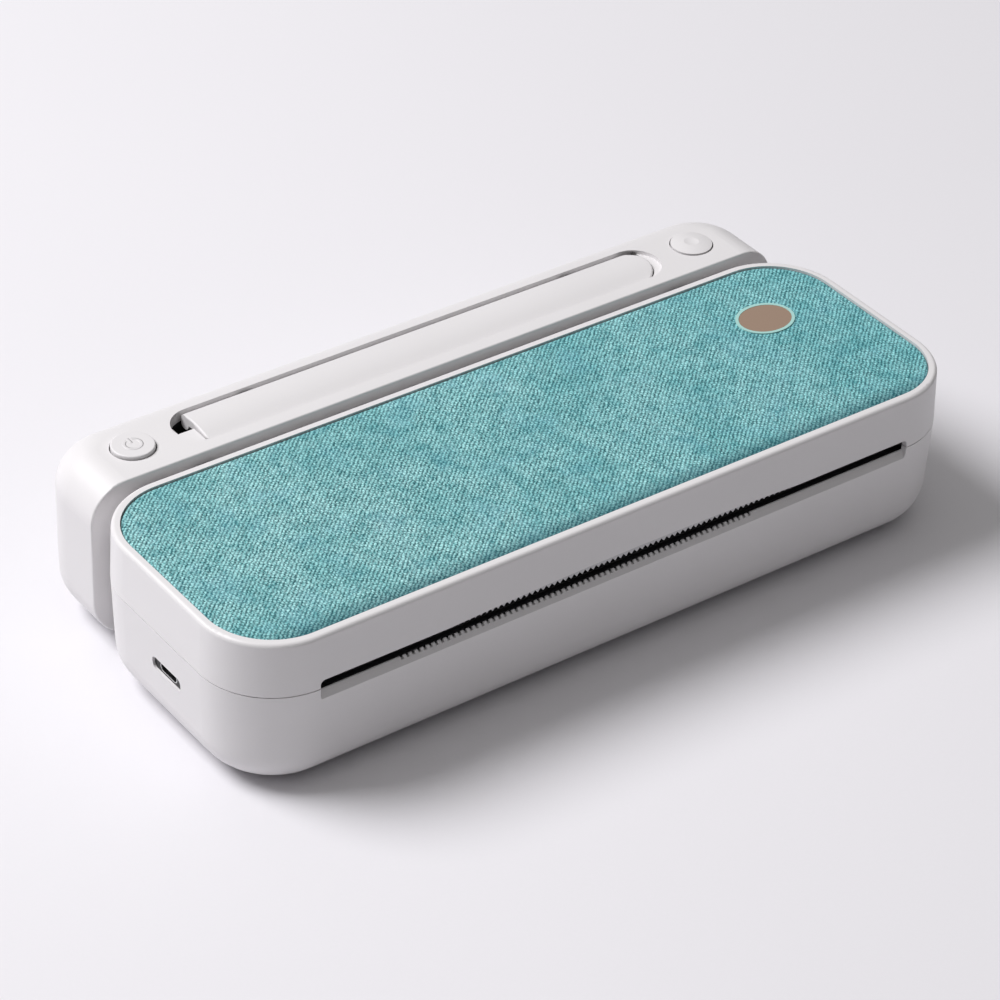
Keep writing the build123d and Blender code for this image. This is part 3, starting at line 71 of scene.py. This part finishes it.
HEATER_Y = -0.0475  # the line of heaters on the print head
MARK_RADIUS, MARK_GAP = 2.6 * MM, 0.95 * MM  # the open ring on the left key
MARK_RISE = 0.4 * MM

FLOOR_HALF = 8.0
ROOM_COLOUR, ROOM_STRENGTH = (1.0, 0.985, 0.97, 1), 0.60
BACKDROP = (0.80, 0.79, 0.83, 1)
LAMP_PLACE, LAMP_SIZE, LAMP_POWER = (-1.12, 1.00, 1.95), 1.35, 61
LAMP_COLOUR = (0.995, 0.985, 1.0)


class Shader:
    """A Principled material whose inputs are worked out from the object's own coordinates."""

    def __init__(self, name, rough=0.5, metal=0.0, **fixed):
        self.material = bpy.data.materials.new(name)
        self.material.use_nodes = True
        self.tree = self.material.node_tree
        self.surface = self.tree.nodes["Principled BSDF"]
        self.surface.inputs["Roughness"].default_value = rough
        self.surface.inputs["Metallic"].default_value = metal
        for socket, value in fixed.items():
            self.surface.inputs[socket.replace("_", " ")].default_value = value
        self.place = self.tree.nodes.new("ShaderNodeTexCoord").outputs["Object"]

    def feed(self, socket, value):
        if isinstance(value, (int, float)):
            socket.default_value = value
        elif isinstance(value, tuple):
            socket.default_value = value if len(value) == len(socket.default_value) else (*value, 1)
        else:
            self.tree.links.new(value, socket)

    def math(self, operation, *values):
        node = self.tree.nodes.new("ShaderNodeMath")
        node.operation = operation
        for socket, value in zip(node.inputs, values):
            self.feed(socket, value)
        return node.outputs[0]

    def axes(self, scale=(1, 1, 1), shift=(0, 0, 0)):
        node = self.tree.nodes.new("ShaderNodeMapping")
        self.feed(node.inputs["Vector"], self.place)
        node.inputs["Scale"].default_value = scale
        node.inputs["Location"].default_value = shift
        return node.outputs[0]

    def split(self, vector):
        node = self.tree.nodes.new("ShaderNodeSeparateXYZ")
        self.feed(node.inputs[0], vector)
        return node.outputs

    def noise(self, scale, detail=2.0, stretch=(1, 1, 1), shift=(0, 0, 0), rough=0.5):
        node = self.tree.nodes.new("ShaderNodeTexNoise")
        self.feed(node.inputs["Vector"], self.axes(stretch, shift))
        node.inputs["Scale"].default_value = scale
        node.inputs["Detail"].default_value = detail
        node.inputs["Roughness"].default_value = rough
        return node.outputs["Fac"]

    def cells(self, scale, feature="F1", stretch=(1, 1, 1)):
        node = self.tree.nodes.new("ShaderNodeTexVoronoi")
        node.feature = feature
        self.feed(node.inputs["Vector"], self.axes(stretch))
        node.inputs["Scale"].default_value = scale
        return node.outputs["Distance"]

    def ranged(self, value, low, high, start=0.0, end=1.0):
        node = self.tree.nodes.new("ShaderNodeMapRange")
        for socket, part in zip(node.inputs, (value, low, high, start, end)):
            self.feed(socket, part)
        return node.outputs[0]

    def mix(self, factor, first, second):
        """Colour mix. A Mix node set to RGBA has its colour sockets at 6 and 7, and 2 out."""
        node = self.tree.nodes.new("ShaderNodeMix")
        node.data_type = "RGBA"
        self.feed(node.inputs[0], factor)
        self.feed(node.inputs[6], first)
        self.feed(node.inputs[7], second)
        return node.outputs[2]

    def bump(self, height, depth, strength=1.0, under=None):
        node = self.tree.nodes.new("ShaderNodeBump")
        self.feed(node.inputs["Height"], height)
        node.inputs["Distance"].default_value = depth
        node.inputs["Strength"].default_value = strength
        if under is not None:
            self.feed(node.inputs["Normal"], under)
        return node.outputs[0]

    def finish(self, colour, rough=None, normal=None):
        self.feed(self.surface.inputs["Base Color"], colour)
        if rough is not None:
            self.feed(self.surface.inputs["Roughness"], rough)
        if normal is not None:
            self.feed(self.surface.inputs["Normal"], normal)
        return self.material


def shade(colour, factor):
    return tuple(min(1.0, part * factor) for part in colour)


def moulded(name, colour, rough=0.45, depth=0.02, drift=0.03):
    """Moulded plastic: spark-eroded grain, slow drifts in tone and gloss, and faint scuffs."""
    s = Shader(name)
    slow = s.noise(22, 3)
    fine = s.noise(2600, 3, rough=0.7)
    scuff = s.noise(900, 1, stretch=(1, 0.08, 1), shift=(0.3, 0.1, 0))
    tone = s.mix(s.ranged(slow, 0.3, 0.7), shade(colour, 1 - drift), shade(colour, 1 + drift))
    tone = s.mix(s.ranged(fine, 0.35, 0.65, 0.0, 0.10), tone, shade(colour, 0.86))
    gloss = s.math("ADD", s.ranged(slow, 0.3, 0.7, rough - 0.04, rough + 0.04),
                   s.ranged(scuff, 0.66, 0.74, 0.0, 0.06))
    return s.finish(tone, gloss, s.bump(fine, depth * MM, 0.6))


def metal(name, colour, rough=0.3, along=(0.03, 1, 1)):
    """Drawn or ground metal: fine parallel lines, darker and duller in the slow patches."""
    s = Shader(name, metal=1.0)
    lines = s.noise(2600, 2, stretch=along)
    patch = s.noise(60, 3, shift=(0.2, 0.4, 0.1))
    tone = s.mix(s.ranged(patch, 0.35, 0.7), shade(colour, 0.88), shade(colour, 1.05))
    tone = s.mix(s.ranged(lines, 0.3, 0.7, 0.0, 0.25), tone, shade(colour, 0.7))
    gloss = s.math("ADD", s.ranged(patch, 0.3, 0.7, rough * 0.8, rough * 1.25),
                   s.ranged(lines, 0.3, 0.7, 0.0, 0.08))
    return s.finish(tone, gloss, s.bump(lines, 0.006 * MM, 0.5))


def woven():
    """Plain weave of pale and deep threads, each with its own tone, over mottled patches."""
    s = Shader("woven_fabric", rough=0.85, Sheen_Weight=0.10, Sheen_Roughness=0.5,
               Specular_IOR_Level=0.15)
    x, y, z = s.split(s.place)
    # The threads wander a little, so their count along each axis sways.
    sway_u = s.ranged(s.noise(430, 3), 0.25, 0.75, -0.36, 0.36)
    sway_v = s.ranged(s.noise(390, 3, shift=(3, 1, 0)), 0.25, 0.75, -0.36, 0.36)
    u = s.math("ADD", s.math("DIVIDE", x, PITCH_X), sway_u)
    v = s.math("ADD", s.math("DIVIDE", y, PITCH_Y), sway_v)

    def thread(across, along):
        """How far one set of threads stands out: its round back, and its way over and under."""
        number = s.math("FLOOR", across)
        side = s.math("MULTIPLY_ADD", s.math("SUBTRACT", across, number), 2.0, -1.0)
        crown = s.math("SUBTRACT", 1.0, s.math("MULTIPLY", side, side))
        turn = s.math("MULTIPLY_ADD", s.math("PINGPONG", number, 1.0), -2.0, 1.0)
        wave = s.math("MULTIPLY", s.math("SINE", s.math("MULTIPLY", along, math.pi)), turn)
        return crown, wave

    crown_u, wave_u = thread(u, v)
    crown_v, wave_v = thread(v, u)
    height_u = s.math("MULTIPLY_ADD", wave_u, 0.55, s.math("MULTIPLY", crown_u, 0.45))
    height_v = s.math("MULTIPLY_ADD", wave_v, -0.55, s.math("MULTIPLY", crown_v, 0.45))
    on_top = s.ranged(s.math("SUBTRACT", height_u, height_v), -0.12, 0.12)
    height = s.math("MAXIMUM", height_u, height_v)

    # Slubs run along the threads; patches are where the dye took more or less.
    slub_u = s.noise(1.0, 2, stretch=(1150, 160, 1))
    slub_v = s.noise(1.0, 2, stretch=(150, 1250, 1), shift=(5, 2, 0))
    patch = s.noise(150, 5, shift=(1, 2, 0), rough=0.72)
    fibre = s.noise(5200, 2, rough=0.7)
    pale = s.mix(s.ranged(slub_u, 0.38, 0.62), (0.065, 0.440, 0.455), (0.53, 1.0, 0.99))
    deep = s.mix(s.ranged(slub_v, 0.38, 0.62), (0.004, 0.105, 0.135), (0.100, 0.42, 0.445))
    # The dye is stronger in broad clouds, and the cloth is darker and deeper towards the right-hand
    # end.
    cloud = s.noise(48, 3, stretch=(1.0, 0.6, 1), shift=(7, 1, 5), rough=0.6)
    strong = s.ranged(cloud, 0.46, 0.64, 0.0, 0.34)
    weak = s.ranged(cloud, 0.46, 0.30, 0.0, 0.26)
    right = s.ranged(x, -0.06, 0.13, 0.0, 0.26)

    def clouded_and_darkened(colour):
        """The colour of a yarn after the clouds and the right-hand end have acted on it."""
        colour = s.mix(strong, colour, (0.012, 0.34, 0.38))
        colour = s.mix(weak, colour, (0.50, 0.82, 0.86))
        return s.mix(right, colour, (0.012, 0.60, 0.72))

    tone = clouded_and_darkened(s.mix(on_top, deep, pale))
    # Painted shade: the low places between the threads are darkened nearly to black, by thread
    # height.
    low = s.ranged(height, 0.20, 0.78)
    tone = s.mix(low, (0.001, 0.024, 0.030), tone)
    # The yarns are heathered: fine flecks, and a faint diagonal where the pale ones line up.
    fleck = s.noise(1900, 2, stretch=(1, 0.7, 1), shift=(2, 0, 1))
    flecks = s.mix(s.ranged(fleck, 0.42, 0.58), (0.001, 0.022, 0.030), clouded_and_darkened((0.60, 1.0, 1.0)))
    tone = s.mix(0.50, tone, flecks)
    slant = s.math("COSINE", s.math("MULTIPLY", s.math("SUBTRACT", u, v), math.pi))
    tone = s.mix(s.ranged(slant, 0.1, 1.0, 0.0, 0.28), tone, (0.39, 0.95, 0.95))
    tone = s.mix(s.ranged(slant, -0.1, -1.0, 0.0, 0.46), tone, (0.001, 0.045, 0.060))
    cool = s.noise(85, 3, shift=(0, 4, 2))
    tone = s.mix(s.ranged(cool, 0.52, 0.68, 0.0, 0.15), tone, (0.12, 0.38, 0.52))
    tone = s.mix(s.ranged(patch, 0.47, 0.66, 0.0, 0.17), tone, (0.34, 0.68, 0.72))
    tone = s.mix(s.ranged(patch, 0.50, 0.34, 0.0, 0.30), tone, (0.008, 0.19, 0.235))
    tone = s.mix(s.ranged(fibre, 0.45, 0.7, 0.0, 0.16), tone, (0.50, 0.82, 0.82))
    # Painted shade: where the cloth rolls down into the cover, and in a band along its front edge,
    # it is darkened.
    tone = s.mix(s.ranged(z, *ROLL_SHADE), (0.004, 0.045, 0.062), tone)
    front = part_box("fabric_panel")[0].y
    front_shade_band = s.ranged(y, front + FRONT_SHADE, front, 0.0, 0.70)
    tone = s.mix(front_shade_band, tone, (0.002, 0.060, 0.085))
    relief = s.bump(height, 0.20 * MM, 0.75)
    return s.finish(tone, None, s.bump(fibre, 0.03 * MM, 0.4, under=relief))


def board():
    """Circuit board: glossy green mask over copper tracks, with tinned pads."""
    s = Shader("circuit_board", rough=0.3)
    track = s.cells(420, "DISTANCE_TO_EDGE", stretch=(1, 1, 0.2))
    pad = s.cells(650, stretch=(1, 1, 0.2))
    slow = s.noise(60, 2)
    tone = s.mix(s.ranged(slow, 0.3, 0.7), (0.012, 0.10, 0.045), (0.018, 0.13, 0.06))
    tone = s.mix(s.ranged(track, 0.10, 0.06, 0.0, 0.8), tone, (0.03, 0.20, 0.08))
    tone = s.mix(s.ranged(pad, 0.16, 0.12), tone, (0.62, 0.60, 0.52))
    return s.finish(tone, s.ranged(slow, 0.3, 0.7, 0.24, 0.36), s.bump(track, 0.02 * MM, 0.5))


def fibreboard():
    """Pressed board with its fibres lying along the cover."""
    s = Shader("fibre_board", rough=0.9)
    fibre = s.noise(700, 4, stretch=(0.25, 1, 1), rough=0.7)
    tone = s.mix(s.ranged(fibre, 0.3, 0.7), (0.20, 0.18, 0.15), (0.36, 0.33, 0.28))
    return s.finish(tone, None, s.bump(fibre, 0.05 * MM, 0.6))


def soft_rubber():
    """Dull black rubber with a little dust."""
    s = Shader("rubber", rough=0.8, Specular_IOR_Level=0.3)
    dust = s.noise(1300, 3, rough=0.7)
    tone = s.mix(s.ranged(dust, 0.35, 0.75), (0.020, 0.020, 0.021), (0.065, 0.064, 0.062))
    return s.finish(tone, s.ranged(dust, 0.3, 0.7, 0.72, 0.9), s.bump(dust, 0.03 * MM, 0.5))


def ceramic():
    """Print head: glazed grey ceramic with a dark raised bead where the heaters lie."""
    s = Shader("head_ceramic", rough=0.2)
    y = s.split(s.place)[1]
    speck = s.noise(2200, 3)
    bead = s.math("ABSOLUTE", s.math("SUBTRACT", y, HEATER_Y))
    tone = s.mix(s.ranged(speck, 0.3, 0.7), (0.30, 0.29, 0.27), (0.42, 0.41, 0.38))
    tone = s.mix(s.ranged(bead, 0.9 * MM, 0.5 * MM), tone, (0.035, 0.03, 0.03))
    return s.finish(tone, s.ranged(speck, 0.3, 0.7, 0.14, 0.28), s.bump(speck, 0.01 * MM, 0.4))


def shrink_wrap():
    """Blue heat-shrunk sleeve of the cells, creased across."""
    s = Shader("cell_wrap", rough=0.3, Coat_Weight=0.3, Coat_Roughness=0.15)
    crease = s.noise(140, 3, stretch=(0.3, 1, 1))
    tone = s.mix(s.ranged(crease, 0.3, 0.7), (0.015, 0.075, 0.26), (0.03, 0.12, 0.36))
    return s.finish(tone, s.ranged(crease, 0.3, 0.7, 0.24, 0.4), s.bump(crease, 0.15 * MM, 0.5))


finishes = {
    "white_shell": moulded("white_shell", WHITE, 0.42, depth=0.016, drift=0.012),
    "dark_plastic": moulded("dark_plastic", (0.020, 0.020, 0.022), 0.5, drift=0.1),
    "pale_plastic": moulded("pale_plastic", (0.60, 0.60, 0.61), 0.48),
    "gear_plastic": moulded("gear_plastic", (0.74, 0.71, 0.62), 0.36, depth=0.008),
    "mint_plastic": moulded("mint_plastic", (0.42, 0.70, 0.66), 0.30, depth=0.008),
    "tan_plastic": moulded("tan_plastic", (0.330, 0.232, 0.172), 0.55),
    "teal_fabric": woven(),
    "backing_board": fibreboard(),
    "steel": metal("steel", (0.50, 0.50, 0.52), 0.34),
    "bright_steel": metal("bright_steel", (0.70, 0.70, 0.71), 0.20),
    "magnet": metal("magnet", (0.58, 0.56, 0.53), 0.22, along=(1, 1, 0.05)),
    "aluminium": metal("aluminium", (0.72, 0.73, 0.74), 0.36),
    "brass": metal("brass", (0.70, 0.49, 0.20), 0.28),
    "rubber": soft_rubber(),
    "head_ceramic": ceramic(),
    "circuit_board": board(),
    "cell_wrap": shrink_wrap(),
}
for part in frame["record"]["subparts"]:
    mesh = frame["nodes"][part["node"]].data
    mesh.materials.clear()
    mesh.materials.append(finishes[part["material_slot"]])


def key_finish():
    """The left key: shell plastic with a shallow open ring and bar standing on its top."""
    low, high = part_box("power_button")
    s = Shader("power_key")
    x, y, z = s.split(s.place)
    across = s.math("SUBTRACT", x, (low.x + high.x) / 2)
    along = s.math("SUBTRACT", y, (low.y + high.y) / 2)
    radius = s.math("SQRT", s.math("ADD", s.math("MULTIPLY", across, across),
                                   s.math("MULTIPLY", along, along)))
    off_ring = s.math("ABSOLUTE", s.math("SUBTRACT", radius, MARK_RADIUS))
    ring = s.ranged(off_ring, 0.60 * MM, 0.28 * MM)
    side = s.math("ABSOLUTE", across)
    gap = s.math("MULTIPLY", s.math("LESS_THAN", side, MARK_GAP), s.math("GREATER_THAN", along, 0))
    ring = s.math("MULTIPLY", ring, s.math("SUBTRACT", 1.0, gap))
    reach = s.math("ABSOLUTE", s.math("SUBTRACT", along, 1.9 * MM))
    bar = s.math("MULTIPLY", s.ranged(side, 0.42 * MM, 0.2 * MM),
                 s.ranged(reach, 1.4 * MM, 1.15 * MM))
    on_top = s.math("GREATER_THAN", z, high.z - MARK_RISE)
    sign = s.math("MULTIPLY", s.math("MAXIMUM", ring, bar), on_top)
    fine = s.noise(2600, 2, rough=0.6)
    tone = s.mix(s.ranged(fine, 0.35, 0.65, 0.0, 0.10), WHITE, shade(WHITE, 0.86))
    # Painted shade: the raised ring and bar are greyed a little so that their relief shows.
    tone = s.mix(s.math("MULTIPLY", sign, 0.32), tone, (0.66, 0.65, 0.66))
    normal = s.bump(sign, 0.25 * MM, 1.0, under=s.bump(fine, 0.016 * MM, 0.6))
    return s.finish(tone, s.ranged(fine, 0.3, 0.7, 0.38, 0.46), normal)


power_key = frame["nodes"]["power_button"].data
power_key.materials.clear()
power_key.materials.append(key_finish())


def outline(centre, length, depth, radius, inset, steps=28):
    """Points round a rectangle with round corners, anticlockwise from the right side."""
    half_x, half_y, r = length / 2 - inset, depth / 2 - inset, radius - inset
    points = []
    for turn, (sx, sy) in enumerate(((1, 1), (-1, 1), (-1, -1), (1, -1))):
        for k in range(steps + 1):
            a = math.radians(90 * (turn + k / steps))
            points.append((centre[0] + sx * (half_x - r) + r * math.cos(a),
                           centre[1] + sy * (half_y - r) + r * math.sin(a)))
    return points


def lofted(name, rings):
    """A closed solid through rings of equal count, from the lowest to the highest."""
    count = len(rings[0])
    points = [point for ring in rings for point in ring]
    faces = [tuple(reversed(range(count)))]
    for level in range(len(rings) - 1):
        for k in range(count):
            a, b = level * count + k, level * count + (k + 1) % count
            faces.append((a, b, b + count, a + count))
    faces.append(tuple(range((len(rings) - 1) * count, len(rings) * count)))
    mesh = bpy.data.meshes.new(name)
    mesh.from_pydata(points, [], faces)
    mesh.polygons.foreach_set("use_smooth", [True] * len(faces))
    mesh.update()
    piece = bpy.data.objects.new(name, mesh)
    bpy.context.scene.collection.objects.link(piece)
    return piece


# The cloth: glued flat on its board, its edge rolled down into the groove of the cover.
low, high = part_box("fabric_panel")
middle = ((low.x + high.x) / 2, (low.y + high.y) / 2)
length, depth = high.x - low.x, high.y - low.y
profile = [(0.0, low.z), (0.0, high.z - ROLL_DROP)]
for k in range(1, ROLL_STEPS + 1):
    a = math.radians(90 * k / ROLL_STEPS)
    profile.append((ROLL_WIDTH * (1 - math.cos(a)), high.z - ROLL_DROP * (1 - math.sin(a))))
profile += [(4.0 * MM, high.z), (9.0 * MM, high.z)]
rings = [
    [(x, y, z) for x, y in outline(middle, length, depth, CLOTH_CORNER, inset)]
    for inset, z in profile
]
cloth = lofted("cover_cloth", rings)
cloth.data.materials.append(finishes["teal_fabric"])
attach(cloth, "cover")
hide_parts("fabric_panel")


def pale_floor():
    """Matt pale ground with a barely visible texture."""
    s = Shader("pale_floor", rough=0.75, Specular_IOR_Level=0.3)
    slow = s.noise(3, 2)
    fine = s.noise(900, 2)
    tone = s.mix(s.ranged(slow, 0.3, 0.7), (0.795, 0.785, 0.815), (0.810, 0.800, 0.830))
    tone = s.mix(s.ranged(fine, 0.3, 0.7, 0.0, 0.05), tone, (0.70, 0.69, 0.72))
    return s.finish(tone, None, s.bump(fine, 0.02 * MM, 0.3))


floor_mesh = bpy.data.meshes.new("floor")
corners = [(sx * FLOOR_HALF, sy * FLOOR_HALF, 0) for sx, sy in ((-1, -1), (1, -1), (1, 1), (-1, 1))]
floor_mesh.from_pydata(corners, [], [(0, 1, 2, 3)])
floor_mesh.materials.append(pale_floor())
floor = bpy.data.objects.new("floor", floor_mesh)
bpy.context.scene.collection.objects.link(floor)
floor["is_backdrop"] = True

# Light: one large soft lamp from the left and a little behind, and a pale room.
world = bpy.data.worlds.new("room")
world.use_nodes = True
nodes, links = world.node_tree.nodes, world.node_tree.links
room = nodes["Background"]
room.inputs["Color"].default_value = ROOM_COLOUR
# The room is brightest overhead: its strength goes with the square of the sine of the height.
aim = nodes.new("ShaderNodeTexCoord")
height = nodes.new("ShaderNodeSeparateXYZ")
square = nodes.new("ShaderNodeMath")
square.operation = "MULTIPLY"
overhead = nodes.new("ShaderNodeMath")
overhead.operation = "MULTIPLY"
overhead.use_clamp = True
square.inputs[1].default_value = ROOM_STRENGTH
links.new(aim.outputs["Generated"], height.inputs[0])
links.new(height.outputs["Z"], square.inputs[0])
links.new(height.outputs["Z"], overhead.inputs[0])
links.new(square.outputs[0], overhead.inputs[1])
links.new(overhead.outputs[0], room.inputs["Strength"])
seen = nodes.new("ShaderNodeBackground")
seen.inputs["Color"].default_value = BACKDROP
paths = nodes.new("ShaderNodeLightPath")
blend = nodes.new("ShaderNodeMixShader")
links.new(paths.outputs["Is Camera Ray"], blend.inputs[0])
links.new(room.outputs[0], blend.inputs[1])
links.new(seen.outputs[0], blend.inputs[2])
links.new(blend.outputs[0], nodes["World Output"].inputs["Surface"])
bpy.context.scene.world = world


lamp_data = bpy.data.lights.new("window", "AREA")
lamp_data.shape = "DISK"
lamp_data.size = LAMP_SIZE
lamp_data.energy = LAMP_POWER
lamp_data.color = LAMP_COLOUR
lamp = bpy.data.objects.new("window", lamp_data)
lamp.location = LAMP_PLACE
lamp.rotation_euler = (-lamp.location).to_track_quat("-Z", "Y").to_euler()
bpy.context.scene.collection.objects.link(lamp)

camera_data = bpy.data.cameras.new("camera")
camera_data.lens = 133.7146
camera_data.sensor_width = 36
camera_data.clip_start = 0.01
camera = bpy.data.objects.new("camera", camera_data)
camera.matrix_world = Matrix((
    (0.81008779, 0.31931464, -0.4917275, -0.55762991),
    (-0.58547419, 0.4852897, -0.64939501, -0.73589029),
    (0.03126896, 0.81396073, 0.58007774, 0.6786641),
    (0, 0, 0, 1),
))
bpy.context.scene.collection.objects.link(camera)
bpy.context.scene.camera = camera
bpy.context.scene.view_settings.view_transform = "Standard"

low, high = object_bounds()
